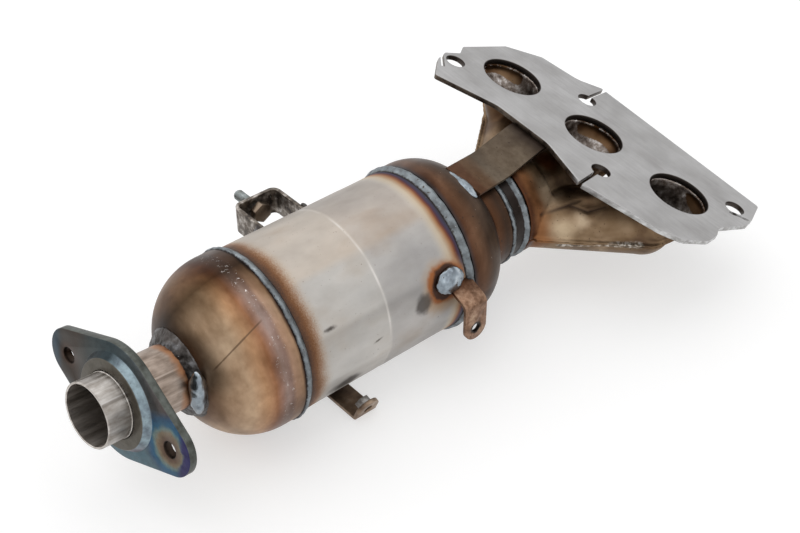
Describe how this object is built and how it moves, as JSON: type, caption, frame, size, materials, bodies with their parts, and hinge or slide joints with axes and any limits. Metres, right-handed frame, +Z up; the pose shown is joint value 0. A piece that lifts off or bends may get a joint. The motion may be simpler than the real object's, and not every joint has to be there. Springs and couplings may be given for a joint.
{
  "type": "catalytic converter with exhaust manifold",
  "caption": "Close-coupled catalytic converter: round steel can with domed ends, stamped three-runner manifold with a slotted head flange, and an outlet pipe with a two-bolt flange.",
  "frame": {"origin": "centre of the middle port on the mating face of the head flange", "axes": "+Y along the can from the outlet to the manifold, +Z up as the converter lies on its weld beads and lower bracket, +X towards the front bracket's side"},
  "size_m": [0.2369, 0.5099, 0.1403],
  "materials": {
    "ground_steel": "ground flat, dull",
    "heat_tinted_steel": "brown and straw heat tint",
    "shell_steel": "bright, lightly scratched",
    "weld_steel": "blue-grey, lumpy",
    "tempered_steel": "dark blue temper colours",
    "pipe_steel": "bright, brushed",
    "bracket_steel": "dark, sooty",
    "zinc_steel": "dull zinc",
    "brick_ceramic": "matt, coated",
    "mineral_mat": "matt fibre",
    "wire_mesh": "knitted wire"
  },
  "bodies": {
    "root": {"head_flange": "ground_steel", "manifold_inner_shell": "heat_tinted_steel", "manifold_outer_shell": "heat_tinted_steel", "port_weld_1": "weld_steel", "port_weld_2": "weld_steel", "port_weld_3": "weld_steel", "collector_ring": "heat_tinted_steel", "collector_weld": "weld_steel", "neck_weld": "weld_steel", "inlet_dome": "heat_tinted_steel", "inlet_shell_weld": "weld_steel", "can_shell": "shell_steel", "outlet_shell_weld": "weld_steel", "outlet_dome": "heat_tinted_steel", "outlet_pipe": "pipe_steel", "outlet_pipe_weld": "weld_steel", "outlet_flange": "tempered_steel", "outlet_flange_weld": "weld_steel", "catalyst_brick": "brick_ceramic", "support_mat": "mineral_mat", "inlet_seal": "wire_mesh", "outlet_seal": "wire_mesh", "stay": "heat_tinted_steel", "stay_weld": "weld_steel", "stay_flange_weld": "weld_steel", "front_bracket": "bracket_steel", "front_bracket_weld": "weld_steel", "lower_bracket": "bracket_steel", "lower_bracket_weld": "weld_steel", "lower_bracket_nut": "zinc_steel", "rear_bracket": "bracket_steel", "rear_bracket_weld": "weld_steel", "rear_bolt": "zinc_steel"}
  },
  "joints": []
}
